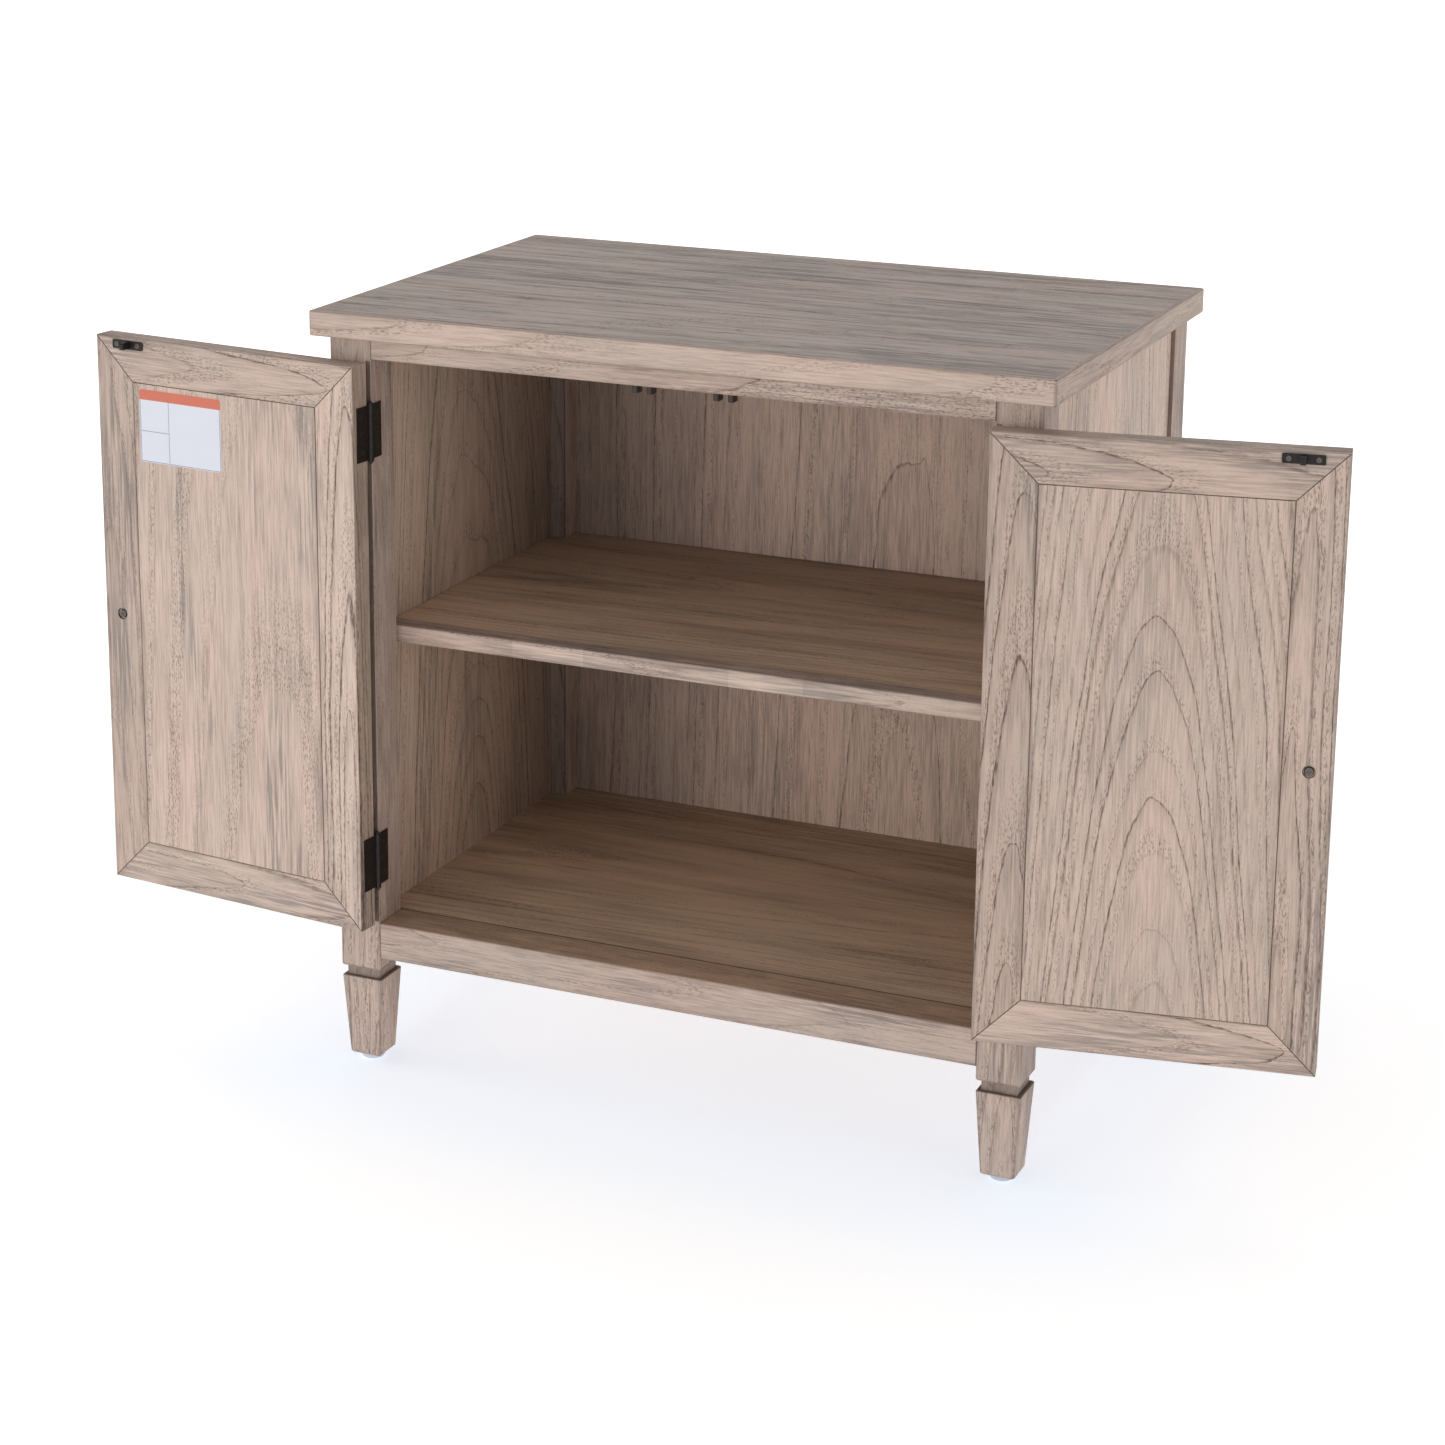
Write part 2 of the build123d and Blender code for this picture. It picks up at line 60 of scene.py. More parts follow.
# ---------------------------------------------------------------- node helpers
class Graph:
    """Short calls for building one node tree."""

    def __init__(self, tree):
        self.tree = tree

    def put(self, socket, value):
        """Link a socket's output, or set a plain value."""
        if isinstance(value, bpy.types.NodeSocket):
            self.tree.links.new(value, socket)
        elif value is not None:
            socket.default_value = value

    def node(self, kind, **settings):
        made = self.tree.nodes.new(kind)
        for key, value in settings.items():
            setattr(made, key, value)
        return made

    def math(self, operation, a, b=None, c=None, clamp=False):
        made = self.node("ShaderNodeMath", operation=operation, use_clamp=clamp)
        for socket, value in zip(made.inputs, (a, b, c)):
            self.put(socket, value)
        return made.outputs[0]

    def hypotenuse(self, a, b):
        squares = self.math("ADD", self.math("MULTIPLY", a, a), self.math("MULTIPLY", b, b))
        return self.math("SQRT", squares)

    def vector(self, operation, a, b=None):
        made = self.node("ShaderNodeVectorMath", operation=operation)
        self.put(made.inputs[0], a)
        self.put(made.inputs[1], b)
        return made.outputs["Value" if operation == "DOT_PRODUCT" else "Vector"]

    def split(self, vector):
        made = self.node("ShaderNodeSeparateXYZ")
        self.put(made.inputs[0], vector)
        return made.outputs[:]

    def join(self, x, y, z):
        made = self.node("ShaderNodeCombineXYZ")
        for socket, value in zip(made.inputs, (x, y, z)):
            self.put(socket, value)
        return made.outputs[0]

    def noise(self, vector, scale, detail=2.0, rough=0.5, distortion=0.0):
        """Noise between 0 and 1; scale is in waves per metre along each axis."""
        made = self.node("ShaderNodeTexNoise", noise_dimensions="3D")
        self.put(made.inputs["Vector"], self.vector("MULTIPLY", vector, scale))
        made.inputs["Scale"].default_value = 1.0
        made.inputs["Detail"].default_value = detail
        made.inputs["Roughness"].default_value = rough
        made.inputs["Distortion"].default_value = distortion
        return made.outputs["Fac"]

    def swing(self, vector, scale, detail=2.0, rough=0.5):
        """Noise to both sides of zero."""
        return self.math("SUBTRACT", self.noise(vector, scale, detail, rough), 0.5)

    def random(self, value):
        """A random number between 0 and 1 for each value."""
        made = self.node("ShaderNodeTexWhiteNoise", noise_dimensions="1D")
        self.put(made.inputs["W"], value)
        return made.outputs["Value"]

    def remap(self, value, low, high, to_low=0.0, to_high=1.0):
        """A smooth step from to_low at low to to_high at high."""
        made = self.node("ShaderNodeMapRange", interpolation_type="SMOOTHSTEP")
        for socket, item in zip(made.inputs, (value, low, high, to_low, to_high)):
            self.put(socket, item)
        return made.outputs[0]

    def mix(self, factor, a, b, blend="MIX"):
        """Colour a turned into colour b by the factor."""
        made = self.node("ShaderNodeMix", data_type="RGBA", blend_type=blend)
        # Inputs 6 and 7 and output 2 are the ones for colours.
        self.put(made.inputs[0], factor)
        self.put(made.inputs[6], a)
        self.put(made.inputs[7], b)
        return made.outputs[2]

    def tinted(self, colour, tint):
        return self.mix(1.0, colour, tint, "MULTIPLY")

    def dimmed(self, colour, factor):
        return self.tinted(colour, self.join(factor, factor, factor))

    def bump(self, shader, height, strength, distance):
        made = self.node("ShaderNodeBump")
        made.inputs["Strength"].default_value = strength
        made.inputs["Distance"].default_value = distance
        self.put(made.inputs["Height"], height)
        self.put(shader.inputs["Normal"], made.outputs[0])

    def surface(self, shader):
        self.put(self.node("ShaderNodeOutputMaterial").inputs["Surface"], shader.outputs[0])


def new_material(name):
    """A material with an empty node tree, and the graph that fills it."""
    material = bpy.data.materials.new(name)
    material.use_nodes = True
    material.node_tree.nodes.clear()
    return material, Graph(material.node_tree)


def assign(node, material):
    data = frame["nodes"][node].data
    data.materials.clear()
    data.materials.append(material)


# ---------------------------------------------------------------- washed wood
LIGHT = (0.690, 0.538, 0.455, 1)
DARK = (0.165, 0.114, 0.090, 1)
GREY = (0.300, 0.258, 0.236, 1)
# The dark colour of stain and dark joints, and of painted shade in some bands.
STAIN_AND_SHADE = (0.060, 0.040, 0.030, 1)
PINK = (1.035, 1.000, 0.990, 1)
SAND = (0.955, 0.968, 0.962, 1)

# Noise scales in waves per metre: along the grain, across the face, through the board.
SWAY_SCALE = (1.6, 7, 7)
RIPPLE_SCALE = (7, 30, 30)
JAG_SCALE = (90, 420, 420)
GAP_SCALE = (110, 520, 520)
FIBRE_SCALE = (28, 620, 620)
STREAK_SCALE = (5, 120, 120)
BAND_SCALE = (3.5, 34, 34)
PORE_SCALE = (240, 820, 820)
PATCH_SCALE = (3.5, 16, 16)
PATCH_GRAIN_SCALE = (13, 360, 360)
BLUSH_SCALE = (5, 16, 16)
GRIME_SCALE = (14, 60, 60)

# How far the rings wander, and how wide their dark lines are, in metres.
SWAY_ACROSS = 0.050
SWAY_THROUGH = 0.030
RIPPLE = 0.0045
JAG = 0.0022
LINE_WIDTH = 0.0026

RING_UNEVEN = 1.3           # how far a ring's edge strays from even rings, in rings
RING_UNEVEN_RATE = 0.55     # how quickly that changes from ring to ring
FAINTEST_RING = 0.32
FAINTEST_GAP = 0.35
LINE_RISE = 1.3             # where a ring's dark line starts before the ring's edge, in line widths
LINE_FALL = 0.30            # and where it is darkest
BASE_DARK = 0.10            # how dark the plainest wood is, between LIGHT and DARK
PORE_DARK = 0.46
RING_SHADE = 0.20           # slow darkening across a ring, against its line
BASE_ROUGHNESS = 0.56
SPECULAR = 0.35
BUMP_STRENGTH = 0.35
BUMP_DEPTH = 0.0006         # metres

NUMBERS = ("Ring", "Pith depth", "Pith across", "Taper", "Lines", "Fibre", "Streak", "Band", "Mottle", "Seed")
COLOURS = {"Light": LIGHT, "Dark": DARK, "Grey": GREY}
AXES = {"x": 0, "y": 1, "z": 2}


def wood_sockets(group):
    face = group.interface
    face.new_socket("Vector", in_out="INPUT", socket_type="NodeSocketVector")
    for name in NUMBERS:
        face.new_socket(name, in_out="INPUT", socket_type="NodeSocketFloat")
    for name in COLOURS:
        face.new_socket(name, in_out="INPUT", socket_type="NodeSocketColor")
    for name, kind in (("Color", "Color"), ("Roughness", "Float"), ("Height", "Float")):
        face.new_socket(name, in_out="OUTPUT", socket_type="NodeSocket" + kind)


def rings(g, board, placed, inputs):
    """Rings round a pith that leans away from the face, so that they break the face as arches.

    Gives the dark line of each ring, the slow shade before it and the porous wood after it.
    """
    along, across, through = g.split(board)
    sway = g.swing(placed, SWAY_SCALE, 1.0)
    side = g.math("MULTIPLY_ADD", sway, SWAY_ACROSS, g.math("SUBTRACT", across, inputs["Pith across"]))
    depth = g.math("MULTIPLY_ADD", along, inputs["Taper"], inputs["Pith depth"])
    depth = g.math("ADD", g.math("MULTIPLY_ADD", sway, SWAY_THROUGH, depth), through)
    radius = g.hypotenuse(side, depth)
    climb = g.math("MULTIPLY", inputs["Taper"], depth)
    # How fast the radius grows on the face: little where a ring lies flat in it.
    spread = g.math("DIVIDE", g.hypotenuse(side, climb), radius)
    jag = g.math("MULTIPLY", g.swing(placed, JAG_SCALE, 1.0), spread)
    radius = g.math("MULTIPLY_ADD", g.swing(placed, RIPPLE_SCALE), RIPPLE, radius)
    radius = g.math("MULTIPLY_ADD", jag, JAG, radius)

    count = g.math("DIVIDE", radius, inputs["Ring"])
    uneven = g.node("ShaderNodeTexNoise", noise_dimensions="1D")
    g.put(uneven.inputs["W"], g.math("MULTIPLY_ADD", count, RING_UNEVEN_RATE, inputs["Seed"]))
    uneven.inputs["Scale"].default_value = 1.0
    count = g.math("MULTIPLY_ADD", uneven.outputs["Fac"], RING_UNEVEN, count)
    phase = g.math("FRACT", count)
    strong = g.random(g.math("ADD", g.math("FLOOR", count), inputs["Seed"]))
    strong = g.remap(strong, 0.1, 0.9, FAINTEST_RING, 1.0)

    # The dark line keeps one width on the face, however flat the ring lies there.
    width = g.math("DIVIDE", g.math("MULTIPLY", spread, LINE_WIDTH), inputs["Ring"])
    before_edge = g.math("DIVIDE", g.math("SUBTRACT", 1.0, phase), width)
    rise = g.remap(before_edge, LINE_FALL, LINE_RISE, 1.0, 0.0)
    fall = g.remap(before_edge, 0.0, LINE_FALL)
    broken = g.remap(g.noise(placed, GAP_SCALE), 0.38, 0.58, FAINTEST_GAP, 1.0)
    line = g.math("MULTIPLY", g.math("MULTIPLY", rise, fall), g.math("MULTIPLY", strong, broken))
    shade = g.math("MULTIPLY", g.remap(phase, 0.45, 1.0), strong)
    porous = g.math("MULTIPLY", g.remap(phase, 0.0, 0.55, 1.0, 0.0), strong)
    return line, shade, porous


def wood_group():
    """Flat-sawn board as a solid texture.

    Vector is (along the grain, across the face, through the board), in metres.
    """
    group = bpy.data.node_groups.new("washed_wood", "ShaderNodeTree")
    wood_sockets(group)
    g = Graph(group)
    inputs = g.node("NodeGroupInput").outputs
    outputs = g.node("NodeGroupOutput").inputs
    board, seed = inputs["Vector"], inputs["Seed"]
    shift = g.join(g.math("MULTIPLY", seed, 1.7), g.math("MULTIPLY", seed, 0.9), seed)
    placed = g.vector("ADD", board, shift)
    line, shade, porous = rings(g, board, placed, inputs)

    # Fibres, streaks, bands, open pores and the wash that stays grey in patches.
    fibre = g.swing(placed, FIBRE_SCALE, 3.0, 0.6)
    streak = g.swing(placed, STREAK_SCALE, 3.0, 0.55)
    band = g.swing(placed, BAND_SCALE)
    pore = g.remap(g.noise(placed, PORE_SCALE, 1.0), 0.51, 0.63)
    pore = g.math("MULTIPLY", pore, g.remap(porous, 0.0, 0.8, 0.12, 1.0))
    patch = g.remap(g.noise(placed, PATCH_SCALE, 3.0, 0.6, 0.2), 0.46, 0.64)
    patch_grain = g.remap(g.noise(placed, PATCH_GRAIN_SCALE, 3.0, 0.6), 0.42, 0.58)
    patch = g.math("MULTIPLY", patch, patch_grain)
    blush = g.remap(g.noise(placed, BLUSH_SCALE), 0.35, 0.65)

    dark = g.math("MULTIPLY", line, inputs["Lines"])
    dark = g.math("MULTIPLY_ADD", shade, g.math("MULTIPLY", inputs["Lines"], RING_SHADE), dark)
    dark = g.math("MULTIPLY_ADD", pore, PORE_DARK, dark)
    for pattern, strength in ((fibre, "Fibre"), (streak, "Streak"), (band, "Band")):
        dark = g.math("MULTIPLY_ADD", pattern, inputs[strength], dark)
    dark = g.math("ADD", dark, BASE_DARK, clamp=True)
    colour = g.mix(blush, g.tinted(inputs["Light"], PINK), g.tinted(inputs["Light"], SAND))
    colour = g.mix(g.math("MULTIPLY", patch, inputs["Mottle"]), colour, inputs["Grey"])
    g.put(outputs["Color"], g.mix(dark, colour, inputs["Dark"]))

    roughness = g.math("MULTIPLY_ADD", line, 0.1, BASE_ROUGHNESS)
    g.put(outputs["Roughness"], g.math("MULTIPLY_ADD", pore, 0.14, roughness))
    height = g.math("MULTIPLY_ADD", fibre, -0.7, g.math("MULTIPLY", line, -0.5))
    g.put(outputs["Height"], g.math("MULTIPLY_ADD", pore, -0.6, height))
    return group


WOOD = wood_group()

FRAME_HALF = 0.0225         # half the width of a door frame's boards
PANEL_HALF = 0.1135         # half the width of a door's panel between them
MITRE_DARK = 0.75
END_DARK = 0.7
GRIME_REACH = 0.030         # how far the clouds carry the grime inwards
SOFT_EDGE = 0.0007          # how softly a band of stain ends
BLOCK_START = 5.03          # sets where the joints of a joined strip fall
BLOCK_TONE = 0.86           # the darkest piece of a joined strip
SEED_STEP = 3.71            # from one board's place in the noise to the next


def to_board(g, vector, lean, order):
    """Turn a vector square with its board and put its parts in the board's order."""
    turn = g.node("ShaderNodeVectorRotate", rotation_type="Z_AXIS")
    g.put(turn.inputs["Vector"], vector)
    turn.inputs["Angle"].default_value = math.radians(lean)
    parts = g.split(turn.outputs[0])
    return g.join(*[parts[i] for i in order])


def bevel_stain(g, normal, joint):
    """A slanted normal is a bevel: the stain stays in it, most of all in a mitre."""
    along, across, through = g.split(normal)
    slant = g.math("ADD", g.math("MULTIPLY", along, through), g.math("MULTIPLY", across, through))
    bevel = g.math("MULTIPLY", g.remap(slant, 0.15, 0.4), joint)
    mitre = g.remap(g.math("MULTIPLY", along, across), 0.10, 0.22)
    return g.math("MAXIMUM", g.math("MULTIPLY", mitre, MITRE_DARK), bevel)


def edge_grime(g, place, half, amount):
    """Clouds of stain that creep in from the long edges."""
    inset = g.math("SUBTRACT", half, g.math("ABSOLUTE", g.split(place)[1]))
    cloud = g.noise(place, GRIME_SCALE, 3.0, 0.6)
    reach = g.math("MULTIPLY_ADD", cloud, GRIME_REACH, g.math("MULTIPLY", inset, -1.0))
    return g.remap(reach, 0.008, 0.017, 0.0, amount)


def end_lines(g, place, half, width):
    """A dark line across each end."""
    reach = g.math("ABSOLUTE", g.split(place)[0])
    return g.remap(reach, half - width, half - 0.3 * width, 0.0, END_DARK)


def stain_and_shade_bands(g, spot, amount, bands):
    """Darkening where all the bands cross, for stain and for painted shade; each is an (axis, middle, half
    width) in the cabinet's own axes.
    """
    for axis, middle, half in bands:
        off = g.math("ABSOLUTE", g.math("SUBTRACT", spot[AXES[axis]], middle))
        amount = g.math("MULTIPLY", g.remap(off, half, half - SOFT_EDGE), amount)
    return amount


def joined_blocks(g, colour, place, length):
    """Short pieces joined end to end, each with its own tone."""
    along = g.math("ADD", g.split(place)[0], BLOCK_START)
    piece = g.random(g.math("FLOOR", g.math("DIVIDE", along, length)))
    return g.dimmed(colour, g.remap(piece, 0.0, 1.0, BLOCK_TONE, 1.0))


def painted_slow_shade(g, colour, spot, normal, shade):
    """Painted shade: a slow change of tone along one axis, on the faces that look one way, for the shade deep
    inside the cabinet.
    """
    axis, start, stop, factor, way = shade
    slow = g.remap(spot[AXES[axis]], start, stop, 1.0, factor)
    facing = g.remap(g.vector("DOT_PRODUCT", normal, way), 0.3, 0.7)
    slow = g.math("MULTIPLY_ADD", g.math("SUBTRACT", slow, 1.0), facing, 1.0)
    return g.dimmed(colour, slow)


def wood(node, grain, face, seed, lean=0.0, ring=9.0, depth=80.0, across=0.0, taper=0.11, lines=0.6,
         fibre=1.2, streak=0.5, band=0.0, mottle=0.6, tone=1.0, tint=(1, 1, 1), joint=0.30, edge=None,
         ends=0.0, grime=0.25, blocks=0.0, shade=None, stains_and_shade=()):
    """Give one board of the CAD model its own wood.

    grain is the axis along the grain, face the axis out of the broad face, and lean squares a door's boards.
    ring is a ring's width, and depth and across are how far the pith lies behind and beside the board, in mm.
    lines, fibre, streak, band and mottle say how strong each pattern is; tone and tint multiply the colour.
    joint is how dark the bevels are, edge a tint for the narrow long faces, ends the width in mm of a dark
    line across each end, and grime how strong the stain is that creeps in from the long edges.
    blocks is the length in metres of the short pieces that a strip is joined from.
    shade is (axis, from, to, factor, direction) for painted_slow_shade, a painted shade; stains lists
    (amount, bands) for stain_and_shade_bands, of stain and painted shade.
    """
    low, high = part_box(node)
    third = ({"x", "y", "z"} - {grain, face}).pop()
    order = (AXES[grain], AXES[third], AXES[face])
    long_half, wide_half = ((high[i] - low[i]) / 2 for i in order[:2])
    if lean:
        wide_half = PANEL_HALF if node.endswith("_panel") else FRAME_HALF
    material, g = new_material("wood_" + node)
    coordinates = g.node("ShaderNodeTexCoord").outputs
    spot = g.split(coordinates["Object"])
    place = g.vector("SUBTRACT", coordinates["Object"], tuple((low + high) / 2))
    place = to_board(g, place, lean, order)
    normal = g.vector("ABSOLUTE", to_board(g, coordinates["Normal"], lean, order))

    group = g.node("ShaderNodeGroup", node_tree=WOOD)
    g.put(group.inputs["Vector"], place)
    numbers = [value * MM for value in (ring, depth, across)]
    numbers += [taper, lines, fibre, streak, band, mottle, seed * SEED_STEP]
    for key, value in zip(NUMBERS, numbers):
        group.inputs[key].default_value = value
    for key, base in COLOURS.items():
        group.inputs[key].default_value = tuple(base[i] * tone * tint[i] for i in range(3)) + (1,)

    darkening = bevel_stain(g, normal, joint)
    if grime:
        darkening = g.math("MAXIMUM", darkening, edge_grime(g, place, wide_half, grime))
    if ends:
        darkening = g.math("MAXIMUM", darkening, end_lines(g, place, long_half, ends * MM))
    # These bands hold stain, dark seams and painted shade.
    for amount, bands in stains_and_shade:
        darkening = g.math("MAXIMUM", darkening, stain_and_shade_bands(g, spot, amount, bands))

    colour = group.outputs["Color"]
    if edge:
        narrow = g.remap(g.split(normal)[1], 0.6, 0.8)
        colour = g.mix(narrow, colour, g.tinted(colour, tuple(edge) + (1,)))
    if blocks:
        colour = joined_blocks(g, colour, place, blocks)
    # Painted shade on the faces inside the cabinet.
    if shade:
        colour = painted_slow_shade(g, colour, spot, coordinates["Normal"], shade)

    shader = g.node("ShaderNodeBsdfPrincipled")
    g.put(shader.inputs["Base Color"], g.mix(darkening, colour, STAIN_AND_SHADE))
    g.put(shader.inputs["Roughness"], group.outputs["Roughness"])
    shader.inputs["Specular IOR Level"].default_value = SPECULAR
    g.bump(shader, group.outputs["Height"], BUMP_STRENGTH, BUMP_DEPTH)
    g.surface(shader)
    assign(node, material)


# ---------------------------------------------------------------- boards
FRONTS = dict(tone=0.87, fibre=1.5, mottle=0.7)
FRAME = dict(taper=0.05, lines=0.8, fibre=1.3, mottle=0.75)
# Inside boards; their browner tint is painted light, the warm light that bounces about inside the cabinet.
INSIDE = dict(tint=(1.01, 0.97, 0.84), lines=0.50, fibre=0.6, streak=0.5, band=1.3, mottle=0.45)
# Left side panel: a faint warm tint of painted bounced light, and painted shade on its inner face towards the
# back.
LINED = dict(tint=(1.01, 1.0, 0.94), shade=("y", -0.10, 0.22, 0.52, (1, 0, 0)))
# The top: its bluish tint is a painted sheen.
TOP = dict(tone=0.82, tint=(0.94, 0.99, 1.05), lines=0.5, mottle=0.9, fibre=2.0, streak=2.2)

# Bands of stain and painted shade: how far past an edge the middle lies and half the width, in metres, then
# the amount.
NECK = (0.0042, 0.0055, 0.45)       # a post's lower end, above its foot: stain with painted shade in the groove
SEAM_AND_SHADE = (0.0014, 0.0011, 0.75)       # along the inner edge of every post: a dark seam, partly painted shade of the gap beside it
PAINTED_DOOR_SHADE = (0.0031, 0.0030, 0.7)   # wider, along the doorway's side of the front posts: painted shade that the doors cast
FOOT_TOP = (0.0010, 0.0019, 0.8)    # a foot's upper edge: stain with painted shade in the groove under the post
LEDGE_SEAM = (0.0004, 0.0022, 0.9)  # where the bottom panel meets the front rail
RAIL_CLEAR = 0.00125                # the posts' seams and painted shade stop this far from the rails


def band_past_edge(axis, edge, way, band, *others):
    """One of wood's bands of stain and painted shade: a band that lies past an edge, one way along an axis,
    inside the other bands.
    """
    middle, half, amount = band
    return amount, [(axis, edge + way * middle, half), *others]


def doorway():
    """The posts' height between the front rails, as a band for stain_and_shade_bands."""
    low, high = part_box("bottom_rail_front")[1].z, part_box("top_rail_front")[0].z
    return "z", (low + high) / 2, (high - low) / 2 - RAIL_CLEAR


def top():
    wood("top_core", "x", "z", 1, ring=5.5, depth=260, across=-120, taper=0.03, **TOP)
    for k, side in enumerate(("front", "back")):
        wood(f"top_lipping_{side}", "x", "y", 11 + k, ring=7, depth=60, taper=0.03, lines=0.5, tone=0.94,
             grime=0.12)
    for k, side in enumerate(("left", "right")):
        wood(f"top_lipping_{side}", "y", "x", 14 + k, ring=6, depth=60, taper=0.02, lines=0.5, tone=0.86,
             grime=0.12)


def post_and_foot(k, row, side):
    """One corner post, darkened at its neck and along its inner edge, and the foot under it.

    The neck is stain with painted shade in the groove, the inner edge a dark seam with painted shade beside
    it.
    A rear post is darker on its front face, which is inside the cabinet: painted shade.
    """
    leg, foot = f"leg_{row}_{side}", f"foot_{row}_{side}"
    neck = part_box(foot)[1].z
    low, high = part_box(leg)
    inner, outward = (high.x, -1) if side == "left" else (low.x, 1)
    stains_and_shade = [band_past_edge("z", neck, 1, NECK), band_past_edge("x", inner, outward, SEAM_AND_SHADE, doorway())]
    shade = None
    if row == "front":
        # Painted shade of the doors along the doorway's side of a front post.
        stains_and_shade.append(band_past_edge("x", inner, outward, PAINTED_DOOR_SHADE, doorway()))
    else:
        # Painted shade: a rear post's front face, inside the cabinet, at half its brightness.
        shade = ("y", low.y + 0.004, low.y + 0.001, 0.5, (0, -1, 0))
    wood(leg, "z", "y", 20 + k, ring=8, depth=70, across=30 - 16 * k, taper=0.05, lines=0.5, shade=shade,
         stains_and_shade=stains_and_shade, **FRONTS)
    wood(foot, "z", "y", 25 + k, ring=7, depth=40, across=14 - 9 * k, taper=0.12, lines=0.45,
         stains_and_shade=[band_past_edge("z", neck, 1, FOOT_TOP)], **FRONTS)


def carcase():
    corners = (("front", "left"), ("front", "right"), ("rear", "left"), ("rear", "right"))
    for k, (row, side) in enumerate(corners):
        post_and_foot(k, row, side)
    wood("side_panel_left", "z", "x", 31, ring=8, depth=110, taper=0.10, lines=0.7, **LINED)
    wood("side_panel_right", "z", "x", 32, ring=8, depth=140, taper=0.08, lines=0.6, tone=1.12)
    # The back panel's inner face darkens towards the left: painted shade of the back-left corner.
    wood("back_panel", "z", "y", 33, ring=9, depth=260, across=80, taper=0.03, lines=0.6, fibre=1.6,
         streak=0.8, mottle=0.45, tone=1.22, shade=("x", -0.05, -0.33, 0.44, (0, -1, 0)))
    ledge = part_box("bottom_panel")[0].y
    # The bottom panel's upper face darkens towards the back: painted shade.
    wood("bottom_panel", "x", "z", 34, ring=8, depth=190, taper=0.05, tone=0.98,
         shade=("y", -0.08, 0.22, 0.72, (0, 0, 1)), stains_and_shade=[band_past_edge("y", ledge, 1, LEDGE_SEAM)], **INSIDE)
    # The rails' top and under faces take a warmer, browner edge tint: painted light bounced inside the
    # cabinet.
    for k, rail in enumerate(("bottom_rail_front", "bottom_rail_rear", "top_rail_front", "top_rail_rear")):
        wood(rail, "x", "y", 40 + k, ring=8, depth=90, across=8, taper=0.03, lines=0.6, ends=1.3,
             edge=(1.12, 1.0, 0.84), **FRONTS)


def shelf():
    # The shelf's upper face darkens towards the back: painted shade.
    wood("shelf_board", "x", "z", 35, ring=8, depth=180, across=40, taper=0.05, tone=1.08,
         shade=("y", -0.08, 0.22, 0.58, (0, 0, 1)), **INSIDE)
    wood("shelf_lipping", "x", "y", 36, ring=7, depth=50, taper=0.04, lines=0.6, fibre=1.5, streak=1.0,
         tone=1.06, blocks=0.078)


def door_frame(door, seed, lean, stiles):
    """The four boards of one door's frame; stiles gives each stile's (tone, depth, across)."""
    for i, part in enumerate(("stile_hinge", "stile_latch")):
        tone, depth, across = stiles[i]
        wood(f"{door}_{part}", "z", "y", seed + i, lean, ring=7, depth=depth, across=across, tone=tone,
             edge=(0.80, 0.78, 0.74), **FRAME)
    for i, part in enumerate(("rail_top", "rail_bottom")):
        wood(f"{door}_{part}", "x", "y", seed + 4 + i, lean, ring=7, depth=60, across=-8,
             tone=0.93 + 0.06 * i, **FRAME)


top()
carcase()
shelf()
door_frame("left_door", 50, LEFT_LEAN, ((1.06, 26, 8), (0.86, 60, -18)))
door_frame("right_door", 60, RIGHT_LEAN, ((0.84, 60, 12), (0.93, 34, -14)))
wood("left_door_panel", "z", "y", 71, LEFT_LEAN, ring=16, depth=260, across=60, taper=0.04, lines=0.25,
     mottle=0.8, fibre=1.3, joint=0.8)
wood("right_door_panel", "z", "y", 72, RIGHT_LEAN, ring=6.2, depth=88, across=6, taper=0.10, lines=0.70,
     mottle=0.35, joint=0.8, tone=0.98)


# ---------------------------------------------------------------- metal, plastic and paper
def plain(name, colour, rough, metal=0.0, specks=0.25, scale=900.0, bump_mm=0.05):
    """Metal, plastic or paper with a slightly uneven colour, roughness and surface."""
    material, g = new_material(name)
    place = g.node("ShaderNodeTexCoord").outputs["Object"]
    fine = g.noise(place, (scale, scale, scale), 3.0, 0.6)
    cloud = g.noise(place, (scale / 12, scale / 12, scale / 12))
    deep, worn = (tuple(c * (1 + way * specks) for c in colour) + (1,) for way in (-1, 1))
    shader = g.node("ShaderNodeBsdfPrincipled")
    g.put(shader.inputs["Base Color"], g.mix(cloud, deep, worn))
    g.put(shader.inputs["Roughness"], g.math("MULTIPLY_ADD", fine, 0.25, rough - 0.12))
    shader.inputs["Metallic"].default_value = metal
    g.bump(shader, fine, 0.4, bump_mm * MM)
    g.surface(shader)
    return material


BRONZE = plain("dark_bronze", (0.020, 0.016, 0.014), 0.42, metal=0.4)
RUBBED = plain("rubbed_bronze", (0.050, 0.042, 0.036), 0.38, metal=0.6)
WORN = plain("worn_bronze", (0.15, 0.135, 0.125), 0.36, metal=0.7)
STEEL = plain("zinc_steel", (0.55, 0.54, 0.52), 0.32, metal=1.0)
GLIDE = plain("glide_plastic", (0.60, 0.63, 0.68), 0.38, scale=300)

FITTINGS = (
    (BRONZE, ("_leaf", "_plate", "_knob")),
    (RUBBED, ("_hinge_screws", "_hinge_pins", "_catch")),
    (WORN, ("_knob_screw", "_strike_screws")),
    (STEEL, ("shelf_pins",)),
    (GLIDE, ("foot_glides",)),
)
for material, endings in FITTINGS:
    for name in frame["nodes"]:
        if name.endswith(endings):
            assign(name, material)


